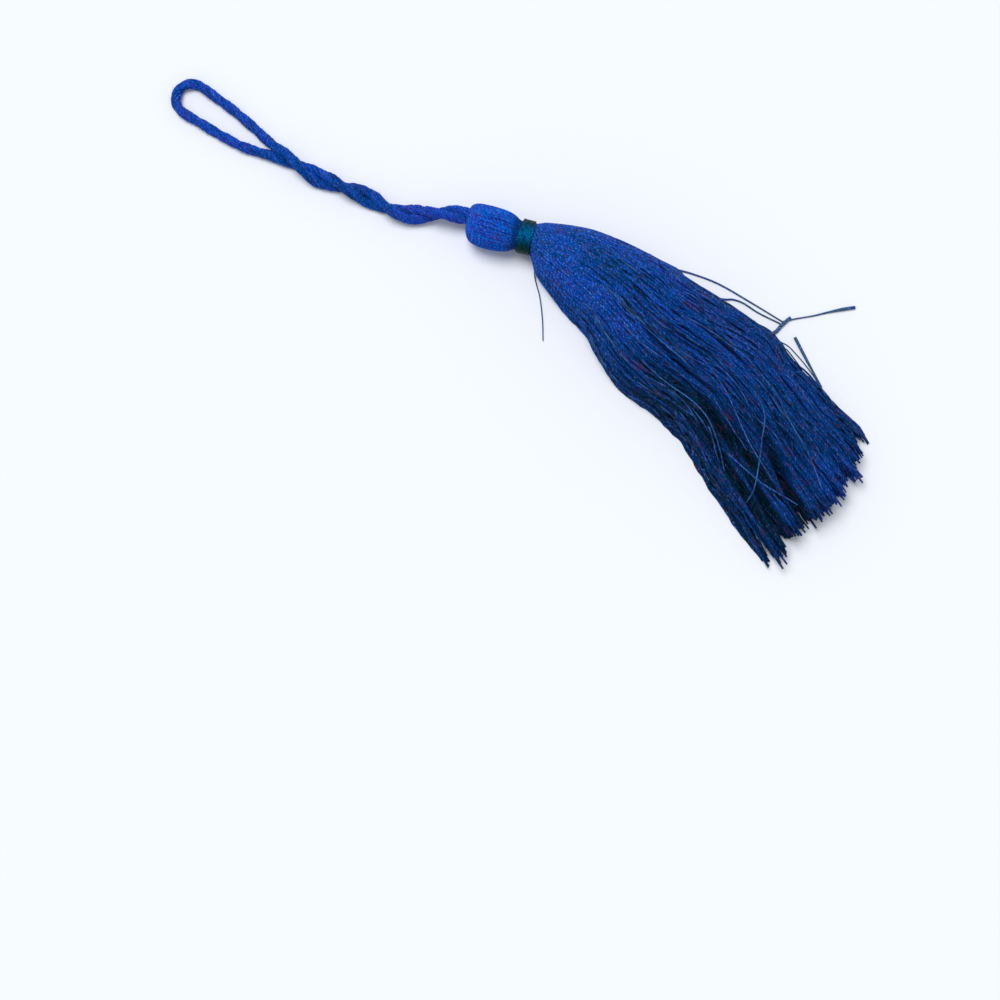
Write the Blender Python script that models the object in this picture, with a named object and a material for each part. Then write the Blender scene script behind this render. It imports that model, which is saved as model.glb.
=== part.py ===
"""A thread tassel lying on its side, its head towards -X and its cut skirt towards +X.

Three pieces: the bundle of thread (a barrel head whose neck face carries the skirt's strands), the binding
wound round its neck, and the hanging loop, one cord whose two legs are twisted round each other.
Lengths in the tables are millimetres, and MM turns them into Blender's metres. The floor is z = 0.
"""

import math
import random
from collections import namedtuple

import bmesh
import bpy
import numpy as np
from mathutils import Vector
from mathutils.geometry import delaunay_2d_cdt

MM = 0.001

# Where the middle of the head's end lies, seen from the origin in the middle of the footprint
HEAD_END_X = -35.28
HEAD_END_Y = -2.48
HEAD_HEADING = 24.0  # degrees from +X, the way from the head's end to its neck
AXIS_HEIGHT = 3.05  # of the head's middle line, a little under its radius, so that it rests on a flat spot

# Head: a barrel, its radius along its middle line
HeadRow = namedtuple("HeadRow", "along radius")
HEAD_ROWS = (
    HeadRow(0.00, 1.60),
    HeadRow(0.22, 2.35),
    HeadRow(0.85, 2.93),
    HeadRow(2.00, 3.20),
    HeadRow(4.30, 3.25),
    HeadRow(5.80, 3.08),
    HeadRow(6.90, 2.70),
    HeadRow(7.40, 2.25),
    HeadRow(7.50, 2.00),
    HeadRow(10.65, 2.00),
)
HEAD_SIDES = 28
HEAD_SHARP_ANGLE = 40.0

# Skirt: sections from the neck to the cut end. x and y are the section's middle from the head's end, heading
# is the strands' way there, and rest goes from 0, a round section, to 1, a dome that lies flat on the floor.
SkirtRow = namedtuple("SkirtRow", "x y heading half_width base height rest")
SKIRT_ROWS = (
    SkirtRow(9.73, 4.33, 24.0, 1.90, 1.15, 3.80, 0.00),
    SkirtRow(11.30, 4.35, 13.0, 3.70, 0.20, 6.30, 0.40),
    SkirtRow(15.40, 4.90, 8.0, 5.75, 0.00, 8.20, 0.80),
    SkirtRow(22.00, 5.45, 1.0, 7.50, 0.00, 9.00, 1.00),
    SkirtRow(32.00, 4.70, -1.5, 9.75, 0.00, 8.80, 1.00),
    SkirtRow(45.50, 5.00, -6.5, 10.40, 0.00, 7.60, 1.00),
    SkirtRow(57.00, 2.25, -12.5, 11.25, 0.00, 6.60, 1.00),
    SkirtRow(68.30, -0.80, -13.0, 12.00, 0.00, 5.20, 1.00),
)
END_BULGE = 1.0  # how far the cut end's middle stands out past its corners
END_SLANT = 3.3  # how much the cut gains on one side and loses on the other
END_RAGGED = 1.7  # the most that a few strands stand out from their neighbours or fall short of them
END_UNEVEN = 0.85  # the most that any strand does so besides

# Strands: flat layers one above the other, each a row of three-sided strands
LAYERS = 12
STRANDS_ACROSS = 23
FEWEST_STRANDS = 3  # in a layer near the top
STRAND_HALF_WIDTH = 0.30
STRAND_HALF_HEIGHT = 0.24
STRAND_FILL = 0.34  # half a strand's share of the pitch, where the pitch is what limits it
STRAND_JITTER = 0.11  # share of the pitch by which a strand stands off its place
EDGE_MARGIN = 0.55  # share of the pitch that each layer keeps free at both its ends
LOCKS = 7  # the skirt's strands gather into this many locks towards the cut end
LOCK_PULL = 0.34
SEED = 41
MESH_MERGE = 1e-5  # distance under which two corners of the neck's face would be one

# Strands that have come out of the skirt's left side and lie beside it: the outermost strand of a layer,
# counted from the floor, which keeps to the skirt for some of its sections and then follows its own path
StrayRow = namedtuple("StrayRow", "x y")
Stray = namedtuple("Stray", "layer sections path")
STRAYS = (
    Stray(0, 5, (StrayRow(37.0, 15.5), StrayRow(39.6, 15.95), StrayRow(42.4, 16.5), StrayRow(45.5, 17.2))),
    Stray(1, 4, (StrayRow(32.4, 15.5), StrayRow(37.6, 16.9), StrayRow(42.0, 17.6), StrayRow(46.3, 18.0))),
)
STRAY_HALF_WIDTH = 0.14

# Binding: thread wound side by side round the neck
BINDING_START = 7.78
BINDING_END = 10.35
BINDING_BORE = 2.30
BINDING_RADIUS = 2.78
BINDING_TURNS = 9
TURN_DEPTH = 0.15
BINDING_SIDES = 26
BINDING_SHARP_ANGLE = 50.0

# Hanging loop: the pair's middle line from the head to the fork, x and y from the head's end, and how much
# higher than its place on the floor the head holds it
PairRow = namedtuple("PairRow", "x y lift")
PAIR_ROWS = (
    PairRow(-0.75, 0.78, 1.70),
    PairRow(-3.05, -0.50, 1.30),
    PairRow(-4.70, -1.90, 0.75),
    PairRow(-6.60, -3.30, 0.32),
    PairRow(-9.00, -4.85, 0.08),
    PairRow(-11.40, -5.70, 0.00),
    PairRow(-13.70, -6.00, 0.00),
    PairRow(-15.70, -6.40, 0.00),
    PairRow(-18.00, -7.10, 0.00),
    PairRow(-20.30, -7.85, 0.00),
    PairRow(-22.70, -8.50, 0.00),
    PairRow(-25.30, -8.85, 0.00),
    PairRow(-27.90, -9.15, 0.00),
    PairRow(-30.20, -9.50, 0.00),
)
# Past the fork the legs part: the eye's middle line, and how far each leg stands off it
EyeRow = namedtuple("EyeRow", "x y spread")
EYE_ROWS = (
    EyeRow(-30.20, -9.50, 0.73),
    EyeRow(-32.20, -9.85, 1.15),
    EyeRow(-34.80, -10.20, 1.70),
    EyeRow(-38.20, -10.45, 2.08),
    EyeRow(-41.80, -10.70, 2.30),
    EyeRow(-45.20, -11.00, 2.40),
)
CORD_DIAMETER = 1.40
LEG_SPACING = 1.46  # between the middles of the two twisted legs
HALF_TWISTS = 4
TWIST_START = 1.0  # distance from the head at which the legs lie side by side
PAIR_STEPS = 27
EYE_STEPS = 8
TIP_STEPS = 7
SEAT_SOFTNESS = 0.02  # rounds off how the pair rises and sinks as its legs turn over each other
CORD_BEVEL_RESOLUTION = 2
FLOOR_CLEARANCE = 0.02
ROUTE_SAMPLES = 24  # between two rows of a route's table

THREAD_BLUE = (0.012, 0.035, 0.330, 1.0)
BINDING_GREEN = (0.004, 0.075, 0.080, 1.0)
CORD_BLUE = (0.010, 0.030, 0.280, 1.0)
THREAD_ROUGHNESS = 0.60
BINDING_ROUGHNESS = 0.35


def clear_scene():
    for item in list(bpy.data.objects):
        bpy.data.objects.remove(item)


def thread_material(name, colour, roughness):
    material = bpy.data.materials.new(name)
    material.use_nodes = True
    shader = material.node_tree.nodes["Principled BSDF"]
    shader.inputs["Base Color"].default_value = colour
    shader.inputs["Roughness"].default_value = roughness
    shader.inputs["Metallic"].default_value = 0.0
    return material


def add_object(name, data, material):
    item = bpy.data.objects.new(name, data)
    bpy.context.collection.objects.link(item)
    data.materials.append(material)
    return item


def placed(x, y, z):
    """A point given in millimetres from the head's end, in metres from the origin."""
    return Vector((x + HEAD_END_X, y + HEAD_END_Y, z)) * MM


def head_point(along, across, height):
    """A point of the head: along its middle line, across it, and its height over the floor."""
    turn = math.radians(HEAD_HEADING)
    x = along * math.cos(turn) - across * math.sin(turn)
    y = along * math.sin(turn) + across * math.cos(turn)
    return placed(x, y, height)


# ---- Skirt ----


def skirt_point(row, across, level):
    """A place of the bundle, carried to one section of the skirt.

    across runs from -1 to 1 and level from 0, the bundle's underside, up to its top, as a share of its full
    height. A round section keeps the bundle's disc. A resting one slides each upright column of it down until
    its foot is level, which gives a dome with a flat base.
    """
    turn = math.radians(row.heading)
    column = math.sqrt(max(0.0, 1.0 - across * across))
    x = row.x - math.sin(turn) * row.half_width * across
    y = row.y + math.cos(turn) * row.half_width * across
    drop = (1.0 - row.rest) * (1.0 - column) / 2.0
    return x, y, row.base + row.height * (level + drop)


def gathered(across, share):
    """Pulls a place across the skirt towards its lock, and gives the rate by which the pitch shrinks."""
    wave = math.pi * LOCKS
    moved = across - share * LOCK_PULL / wave * math.sin(wave * across)
    return moved, 1.0 - share * LOCK_PULL * math.cos(wave * across)


def strand_section(row, share, strand):
    """The three corners of a strand where it passes one section: two below and one above."""
    across, rate = gathered(strand["across"], share)
    half_across = min(STRAND_FILL * 2.0 / STRANDS_ACROSS * rate, STRAND_HALF_WIDTH / row.half_width)
    half_level = min(STRAND_FILL / LAYERS, STRAND_HALF_HEIGHT / row.height)
    level = half_level if strand["on_floor"] else strand["level"]
    return [
        skirt_point(row, across - half_across, level - half_level),
        skirt_point(row, across + half_across, level - half_level),
        skirt_point(row, across, level + half_level),
    ]


def skirt_layers():
    """A list for each layer, with its strands' places across, levels and spare lengths."""
    rng = random.Random(SEED)
    layers = []
    pitch = 2.0 / STRANDS_ACROSS
    for layer in range(LAYERS):
        level = (layer + 0.5) / LAYERS
        reach = math.sqrt(1.0 - level * level) - pitch * EDGE_MARGIN
        count = max(FEWEST_STRANDS, round(2.0 * reach / pitch) + 1)
        spacing = 2.0 * reach / (count - 1)
        strands = []
        for place in range(count):
            across = -reach + spacing * place + pitch * STRAND_JITTER * rng.uniform(-1.0, 1.0)
            lift = STRAND_JITTER * rng.uniform(-1.0, 1.0) / LAYERS
            extra = END_BULGE * (1.0 - across * across) - END_SLANT * across
            extra += END_RAGGED * rng.uniform(-1.0, 1.0) ** 3 + END_UNEVEN * rng.uniform(-1.0, 1.0)
            strands.append(
                {
                    "across": across,
                    "level": level + lift,
                    "on_floor": layer == 0,
                    "extra": extra,
                }
            )
        layers.append(strands)
    return layers


def strand_rings(strand):
    """The strand's sections from its root to its tip, which lies past the last row or short of it."""
    last = len(SKIRT_ROWS) - 1
    rings = [strand_section(row, number / last, strand) for number, row in enumerate(SKIRT_ROWS)]
    before, end = np.array(rings[-2]), np.array(rings[-1])
    run = np.linalg.norm(end.mean(axis=0) - before.mean(axis=0))
    tip = before + (end - before) * (1.0 + strand["extra"] / run)
    tip[:, 2] = end[:, 2]
    rings[-1] = [tuple(corner) for corner in tip]
    return rings


def stray_rings(strand, stray):
    """The strand's sections where it keeps to the skirt, then those on the floor along its own path."""
    rings = strand_rings(strand)[: stray.sections]
    for place, point in enumerate(stray.path):
        before = stray.path[max(0, place - 1)]
        after = stray.path[min(len(stray.path) - 1, place + 1)]
        way = math.atan2(after.y - before.y, after.x - before.x)
        side_x = -math.sin(way) * STRAY_HALF_WIDTH
        side_y = math.cos(way) * STRAY_HALF_WIDTH
        rings.append(
            [
                (point.x - side_x, point.y - side_y, 0.0),
                (point.x + side_x, point.y + side_y, 0.0),
                (point.x, point.y, 2.0 * STRAY_HALF_WIDTH),
            ]
        )
    return rings


def all_strand_rings():
    """The sections of every strand by layers, with the strays in place of their layers' last strands."""
    strays = {stray.layer: stray for stray in STRAYS}
    lines = []
    for layer, strands in enumerate(skirt_layers()):
        last = strands.pop() if layer in strays else None
        lines += [strand_rings(strand) for strand in strands]
        if last:
            lines.append(stray_rings(last, strays[layer]))
    return lines


# ---- Head ----


def head_ring(mesh, row):
    """One ring of the head, pressed level where it would pass through the floor."""
    ring = []
    for side in range(HEAD_SIDES):
        angle = 2.0 * math.pi * side / HEAD_SIDES - math.pi / 2.0
        height = max(0.0, AXIS_HEIGHT + row.radius * math.sin(angle))
        ring.append(mesh.verts.new(head_point(row.along, row.radius * math.cos(angle), height)))
    return ring


def bridge(mesh, ring_a, ring_b):
    """Faces between two rings whose corners run the same way, pointing outwards."""
    count = len(ring_a)
    for side in range(count):
        following = (side + 1) % count
        mesh.faces.new((ring_a[side], ring_a[following], ring_b[following], ring_b[side]))


def neck_face(mesh, rim, roots):
    """Fills the neck's end between its rim and the strands' roots."""
    turn = math.radians(HEAD_HEADING)
    across = Vector((-math.sin(turn), math.cos(turn), 0.0))
    corners = rim + [corner for root in roots for corner in root]
    flat = [Vector((corner.co.dot(across), corner.co.z)) / MM for corner in corners]
    rim_face = list(range(len(rim)))
    root_faces = [[len(rim) + 3 * number + side for side in range(3)] for number in range(len(roots))]
    result = delaunay_2d_cdt(flat, [], [rim_face] + root_faces, 1, MESH_MERGE)
    found_verts, found_faces, from_verts, from_faces = result[0], result[2], result[3], result[5]
    if len(found_verts) != len(corners):
        raise ValueError("two roots cross on the neck's face")
    source = [corners[origin[0]] for origin in from_verts]
    for face, origin in zip(found_faces, from_faces):
        if origin == [0]:
            mesh.faces.new([source[corner] for corner in face])


def build_head_and_skirt():
    mesh = bmesh.new()
    rings = [head_ring(mesh, row) for row in HEAD_ROWS]
    middle = mesh.verts.new(head_point(HEAD_ROWS[0].along, 0.0, AXIS_HEIGHT))
    for side in range(HEAD_SIDES):
        mesh.faces.new((rings[0][(side + 1) % HEAD_SIDES], rings[0][side], middle))
    for ring_a, ring_b in zip(rings, rings[1:]):
        bridge(mesh, ring_a, ring_b)
    roots = []
    for line in all_strand_rings():
        strand = [[mesh.verts.new(placed(*corner)) for corner in ring] for ring in line]
        for ring_a, ring_b in zip(strand, strand[1:]):
            bridge(mesh, ring_a, ring_b)
        mesh.faces.new(strand[-1])
        roots.append(strand[0])
    neck_face(mesh, rings[-1], roots)
    bmesh.ops.recalc_face_normals(mesh, faces=mesh.faces)
    bmesh.ops.triangulate(mesh, faces=mesh.faces)
    data = bpy.data.meshes.new("head_and_skirt")
    mesh.to_mesh(data)
    mesh.free()
    data.shade_smooth()
    data.set_sharp_from_angle(angle=math.radians(HEAD_SHARP_ANGLE))
    return add_object("head_and_skirt", data, thread_material("skirt thread", THREAD_BLUE, THREAD_ROUGHNESS))


# ---- Binding ----


def binding_profile():
    """The section of the wound thread: rounded turns outside, straight inside."""
    pitch = (BINDING_END - BINDING_START) / BINDING_TURNS
    profile = [(BINDING_START, BINDING_BORE), (BINDING_START, BINDING_RADIUS - TURN_DEPTH)]
    for turn in range(BINDING_TURNS):
        profile.append((BINDING_START + (turn + 0.5) * pitch, BINDING_RADIUS))
        profile.append((BINDING_START + (turn + 1.0) * pitch, BINDING_RADIUS - TURN_DEPTH))
    profile.append((BINDING_END, BINDING_BORE))
    return profile


def build_neck_binding():
    mesh = bmesh.new()
    rings = []
    for side in range(BINDING_SIDES):
        angle = 2.0 * math.pi * side / BINDING_SIDES
        ring = []
        for along, radius in binding_profile():
            height = AXIS_HEIGHT + radius * math.sin(angle)
            ring.append(mesh.verts.new(head_point(along, radius * math.cos(angle), height)))
        rings.append(ring)
    for side in range(BINDING_SIDES):
        bridge(mesh, rings[side], rings[(side + 1) % BINDING_SIDES])
    bmesh.ops.recalc_face_normals(mesh, faces=mesh.faces)
    data = bpy.data.meshes.new("neck_binding")
    mesh.to_mesh(data)
    mesh.free()
    data.shade_smooth()
    data.set_sharp_from_angle(angle=math.radians(BINDING_SHARP_ANGLE))
    material = thread_material("binding thread", BINDING_GREEN, BINDING_ROUGHNESS)
    return add_object("neck_binding", data, material)


# ---- Hanging loop ----


def smooth_route(points, steps):
    """Points at even distances along the Catmull-Rom curve through the given points."""
    points = np.array(points)
    padded = np.vstack([2.0 * points[0] - points[1], points, 2.0 * points[-1] - points[-2]])
    fine = []
    for place in range(1, len(padded) - 2):
        before, start, end, after = padded[place - 1 : place + 3]
        for share in np.linspace(0.0, 1.0, ROUTE_SAMPLES, endpoint=False):
            fine.append(
                0.5
                * (
                    2.0 * start
                    + (end - before) * share
                    + (2.0 * before - 5.0 * start + 4.0 * end - after) * share**2
                    + (3.0 * start - before - 3.0 * end + after) * share**3
                )
            )
    fine.append(points[-1])
    fine = np.array(fine)
    runs = np.concatenate([[0.0], np.cumsum(np.linalg.norm(np.diff(fine[:, :2], axis=0), axis=1))])
    places = np.linspace(0.0, runs[-1], steps)
    route = np.column_stack([np.interp(places, runs, fine[:, column]) for column in range(3)])
    return route, places


def side_ways(route):
    """The level unit vectors that point to the left of each part of a route."""
    way = np.gradient(route[:, :2], axis=0)
    way /= np.linalg.norm(way, axis=1)[:, None]
    return np.column_stack([-way[:, 1], way[:, 0]])


def loop_route():
    """The cord from the head out along one leg, round the eye's tip and back along the other leg."""
    radius = CORD_DIAMETER / 2.0 + FLOOR_CLEARANCE
    half = LEG_SPACING / 2.0
    pair, places = smooth_route([(row.x, row.y, row.lift) for row in PAIR_ROWS], PAIR_STEPS)
    sides = side_ways(pair)
    turn = math.pi * HALF_TWISTS * (places - TWIST_START) / (places[-1] - TWIST_START)
    seat = radius + half * np.sqrt(np.sin(turn) ** 2 + SEAT_SOFTNESS)
    legs = []
    for sign in (1.0, -1.0):
        level = pair[:, :2] + sign * half * np.cos(turn)[:, None] * sides
        height = pair[:, 2] + seat + sign * half * np.sin(turn)
        legs.append(np.column_stack([level, np.maximum(height, radius)]))
    eye, _ = smooth_route([(row.x, row.y, row.spread) for row in EYE_ROWS], EYE_STEPS)
    eye_sides = side_ways(eye)
    banks = []
    for sign in (1.0, -1.0):
        level = eye[:, :2] + sign * eye[:, 2:] * eye_sides
        banks.append(np.column_stack([level, np.full(EYE_STEPS, radius)])[1:])
    way = np.array([eye_sides[-1][1], -eye_sides[-1][0]])
    tip = []
    for share in np.linspace(0.0, 1.0, TIP_STEPS + 2)[1:-1]:
        angle = math.pi * share
        level = eye[-1, :2] + eye[-1, 2] * (math.cos(angle) * eye_sides[-1] + math.sin(angle) * way)
        tip.append((level[0], level[1], radius))
    return np.vstack([legs[0], banks[0], tip, banks[1][::-1], legs[1][::-1]])


def build_hanging_loop():
    curve = bpy.data.curves.new("hanging_loop", "CURVE")
    curve.dimensions = "3D"
    route = loop_route()
    spline = curve.splines.new("POLY")
    spline.points.add(len(route) - 1)
    for point, place in zip(spline.points, route):
        point.co = (*placed(*place), 1.0)
    curve.bevel_depth = CORD_DIAMETER / 2.0 * MM
    curve.bevel_resolution = CORD_BEVEL_RESOLUTION
    curve.use_fill_caps = True
    spline.use_smooth = True
    return add_object("hanging_loop", curve, thread_material("loop thread", CORD_BLUE, THREAD_ROUGHNESS))


def main():
    clear_scene()
    build_head_and_skirt()
    build_neck_binding()
    build_hanging_loop()


main()
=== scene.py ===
import math
from collections import namedtuple
from functools import partial

import bpy
import numpy as np
from mathutils import Matrix, Vector


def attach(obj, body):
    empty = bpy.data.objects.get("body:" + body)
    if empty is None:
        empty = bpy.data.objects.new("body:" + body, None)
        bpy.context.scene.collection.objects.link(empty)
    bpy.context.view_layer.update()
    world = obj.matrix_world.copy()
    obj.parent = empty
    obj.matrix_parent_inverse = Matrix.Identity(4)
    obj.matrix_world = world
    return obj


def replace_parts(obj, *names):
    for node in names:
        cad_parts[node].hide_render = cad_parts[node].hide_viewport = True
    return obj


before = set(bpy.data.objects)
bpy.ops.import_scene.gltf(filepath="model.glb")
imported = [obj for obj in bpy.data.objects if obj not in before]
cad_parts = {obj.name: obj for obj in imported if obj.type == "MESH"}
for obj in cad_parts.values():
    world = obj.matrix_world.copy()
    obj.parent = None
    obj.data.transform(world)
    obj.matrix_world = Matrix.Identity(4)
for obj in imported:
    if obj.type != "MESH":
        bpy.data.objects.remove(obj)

# A thread tassel lying on its side: the barrel head of folded thread, the glossy thread wound round its
# neck, the fringe skirt with its gathered cut end, and the hanging loop of plied cord. Tables are
# millimetres from the middle of the head's end, and MM turns them into metres.

bl_info = {
    "name": "Thread tassel",
    "version": (1, 0, 0),
    "blender": (4, 5, 0),
    "location": "3D View > Sidebar > Tassel",
    "description": "Builds a tassel thread by thread: bound neck, fringe skirt and plied hanging loop",
    "category": "Add Mesh",
}

MM = 0.001
FULL_TURN = 2.0 * math.pi
UP = (0.0, 0.0, 1.0)
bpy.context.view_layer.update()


# ---- Tables ----


def table(columns, *rows):
    """Rows of numbers with named columns."""
    row = namedtuple("Row", columns)
    return tuple(row(*numbers) for numbers in rows)


# Where the head's end stands, which way it points, and how high its middle line lies
HEAD_END = np.array((-35.28, -2.48))
HEAD_HEADING = math.radians(24.0)
AXIS_HEIGHT = 3.05

# Head: a thread's way from under the cord, round the head's end and along the barrel into the neck. entry
# is the share of the cord's stand-off from the middle line that the thread still has there.
HEAD_ROWS = table(
    "along radius entry",
    (1.30, 0.55, 1.00),
    (0.40, 0.80, 1.00),
    (0.05, 1.15, 0.95),
    (-0.02, 1.70, 0.70),
    (0.22, 2.35, 0.42),
    (0.85, 2.93, 0.18),
    (2.00, 3.20, 0.04),
    (4.30, 3.25, 0.00),
    (5.80, 3.08, 0.00),
    (6.90, 2.70, 0.00),
    (7.50, 2.32, 0.00),
    (8.10, 2.20, 0.00),
    (9.90, 2.00, 0.00),
)
ENTRY_ACROSS = 1.02
HEAD_PLACES = 34
HEAD_LAYER_GAP = 0.22
HEAD_TONE = 0.58

# The binding's two layers: how far they stand off the middle line, and where along it they start and end
BINDING_LAYERS = table("away start end", (2.32, 7.80, 10.33), (2.50, 7.90, 10.25))

# Skirt sections from inside the binding to the cut end
SKIRT_ROWS = table(
    "x y heading half_width base height rest",
    (8.30, 3.70, 24.0, 2.05, 1.00, 4.10, 0.00),
    (9.32, 4.13, 24.0, 2.20, 0.85, 4.40, 0.00),
    (9.90, 4.25, 21.0, 2.72, 0.50, 5.10, 0.10),
    (11.30, 4.35, 13.0, 3.75, 0.20, 6.35, 0.40),
    (15.40, 4.90, 8.0, 5.75, 0.00, 8.20, 0.80),
    (22.00, 5.45, 1.0, 7.50, 0.00, 9.00, 1.00),
    (32.00, 4.70, -1.5, 9.75, 0.00, 8.80, 1.00),
    (45.50, 5.00, -6.5, 10.40, 0.00, 7.60, 1.00),
    (57.00, 2.25, -12.5, 11.25, 0.00, 6.60, 1.00),
    (68.30, -0.80, -13.0, 12.00, 0.00, 5.20, 1.00),
)

# Tufts of the cut end: where each stands across the skirt, how far its tip lies past the last section, and
# how much shorter the threads between it and the next one are. TIP_BACK is taken off every tip.
TUFT_ROWS = table(
    "across tip notch",
    (-0.94, 2.6, 1.5),
    (-0.80, 2.9, 1.0),
    (-0.68, 2.7, 1.9),
    (-0.54, 1.8, 1.6),
    (-0.45, 1.2, 0.9),
    (-0.35, 1.4, 2.1),
    (-0.20, 1.5, 1.3),
    (-0.08, 1.6, 1.4),
    (0.03, 1.7, 1.2),
    (0.14, 1.7, 1.5),
    (0.27, 1.5, 1.4),
    (0.38, 0.3, 0.8),
    (0.47, -1.4, 0.9),
    (0.57, 1.2, 2.2),
    (0.67, -0.8, 0.9),
    (0.77, -0.9, 2.8),
    (0.95, -2.2, 2.8),
)

TIP_BACK = 0.85
NOTCH_DEPTH = 1.35
TUFT_LIMIT = 1.06
TUFT_PULL = 0.58
TUFT_REACH = 13.0

# Partings where the locks of the skirt fall away from each other
PARTING_ROWS = table(
    "across_start across_end start end width depth",
    (-0.05, -0.27, 44.0, 57.0, 0.060, 0.75),
    (-0.13, -0.29, 50.0, 59.0, 0.045, 0.60),
    (-0.36, -0.42, 38.0, 49.0, 0.060, 0.62),
    (-0.51, -0.60, 45.0, 57.0, 0.060, 0.72),
    (-0.40, -0.52, 32.0, 43.0, 0.055, 0.55),
    (-0.12, -0.30, 19.0, 32.0, 0.030, 0.25),
    (-0.68, -0.74, 36.0, 56.0, 0.045, 0.45),
    (0.53, 0.46, 49.0, 57.0, 0.035, 0.40),
    (0.24, 0.10, 40.0, 52.0, 0.030, 0.24),
    (0.42, 0.28, 22.0, 40.0, 0.030, 0.18),
    (0.68, 0.56, 30.0, 48.0, 0.030, 0.20),
)

# Broad patches of painted shade on the skirt's top, darker, or lighter below zero: their middle and reach
# each way
PAINTED_SHADE_PATCHES = table(
    "place across length width darker",
    (28.0, -0.20, 9.0, 0.28, -0.09),
    (34.0, 0.70, 13.0, 0.35, 0.07),
    (36.0, -0.58, 8.0, 0.14, 0.15),
    (57.0, 0.42, 5.0, 0.18, 0.15),
    (43.0, -0.10, 6.0, 0.18, 0.05),
    (33.0, -0.33, 4.0, 0.12, -0.12),
    (31.0, 0.15, 4.0, 0.15, 0.05),
)

# How far the skirt's two banks lie outside its sections, or inside below zero, by the way from the neck
BANK_ROWS = table(
    "place left right",
    (0.0, 0.00, 0.00),
    (5.0, 0.15, -0.20),
    (9.0, 0.05, -0.32),
    (13.0, 0.18, -0.48),
    (17.0, 0.20, -0.62),
    (20.0, 0.35, -0.35),
    (23.5, -0.20, -0.05),
    (29.0, -0.15, 0.18),
    (33.0, 0.00, 0.00),
    (37.5, 0.42, 0.00),
    (41.0, -0.62, 0.00),
    (46.0, -0.22, 0.00),
    (50.0, -0.38, 0.00),
    (53.5, 0.25, 0.00),
    (64.0, 0.00, 0.00),
)

# The skirt's threads. Each pair is the range of a random draw: how much longer or shorter a thread is, the
# lengths of its long and short waves, and the size of its own sway. The last rows are the sway that it
# shares with its neighbours, and the sizes of its curls and crimps.
SKIRT_PLACES = 64
NECK_CROWDING = 0.20
SPARE_LENGTHS = (-0.5, 0.3)
SHORT_END = 1.2
STRAY_END = 2.0
STRAY_LIMIT = 0.85
LONG_WAVES = (14.0, 38.0)
SHORT_WAVES = (4.5, 9.0)
OWN_SWAYS = (0.05, 0.28)
SHARED_SWAY, SHARED_WAVE, SHARED_SLANT = 0.30, 34.0, 1.7
CURL, CRIMP = 0.11, 0.06
OUTER_SHELLS = 4
CROSSING_PLACES = 48
LOOSE_PLACES = 32

# How much painted shade darkens the skirt's threads where they have left the neck, on their way down, in
# the lower part, at the banks, in partings and by the unevenness of the bundle
SHADE_FREE, SHADE_DOWN, SHADE_LOW = 0.10, 0.46, 0.28
SHADE_BANK, SHADE_PARTING, SHADE_UNEVEN = 0.20, 0.40, 0.13

# Threads that cross the skirt's top, by their distance from the neck and their place across
CROSSING_PATHS = [table("place across", *rows) for rows in (
    ((36.0, 0.16), (43.8, 0.098), (47.5, -0.178), (50.6, -0.443), (52.5, -0.628),
     (53.2, -0.774)),
    ((44.0, -0.66), (51.0, -0.523), (54.5, -0.413), (58.2, -0.263)),
    ((33.0, -0.78), (39.6, -0.849), (43.1, -0.894), (46.5, -0.934)),
    ((30.0, 0.02), (38.0, -0.16), (46.0, -0.32), (55.0, -0.36)),
    ((41.0, 0.44), (47.0, 0.30), (53.0, 0.22), (60.0, 0.06)),
    ((22.0, -0.52), (31.0, -0.60), (40.0, -0.60), (50.0, -0.86)),
)]

# Loose threads beside the skirt, on the floor or just over it
LOOSE_PATHS = [table("x y z radius", *rows) for rows in (
    ((31.0, 13.3, 0.60, 0.14), (35.2, 14.4, 0.40, 0.14), (37.2, 15.3, 0.28, 0.14),
     (38.3, 16.15, 0.16, 0.14), (39.9, 16.7, 0.14, 0.14), (42.6, 16.95, 0.14, 0.13),
     (46.2, 17.7, 0.20, 0.11)),
    ((22.0, 11.9, 0.50, 0.14), (27.5, 13.9, 0.28, 0.14), (31.0, 15.4, 0.16, 0.14),
     (35.2, 16.7, 0.14, 0.14), (40.8, 17.5, 0.14, 0.13), (46.3, 18.15, 0.14, 0.11)),
    ((44.2, 13.4, 0.50, 0.26), (46.2, 15.8, 0.28, 0.27), (46.5, 17.6, 0.28, 0.28),
     (46.8, 19.4, 0.28, 0.24)),
    ((46.2, 18.0, 0.50, 0.10), (47.5, 19.7, 0.24, 0.10), (49.2, 21.6, 0.18, 0.11),
     (50.7, 23.5, 0.20, 0.15), (52.2, 25.3, 0.26, 0.25), (53.5, 26.7, 0.26, 0.25)),
    ((49.2, 17.4, 0.26, 0.25), (52.0, 16.1, 0.24, 0.23), (54.7, 14.9, 0.20, 0.17),
     (57.0, 13.9, 0.30, 0.12)),
    ((45.5, 14.6, 0.30, 0.09), (48.7, 15.7, 0.12, 0.09), (51.0, 15.5, 0.12, 0.09),
     (53.3, 15.0, 0.12, 0.09), (56.2, 14.1, 0.14, 0.09), (59.0, 12.8, 0.30, 0.09)),
    ((11.6, 1.6, 1.30, 0.10), (12.6, 0.3, 0.50, 0.10), (13.7, -0.6, 0.12, 0.10),
     (15.3, -1.8, 0.11, 0.10), (17.7, -4.2, 0.11, 0.10), (19.8, -6.7, 0.11, 0.09)),
)]

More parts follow.
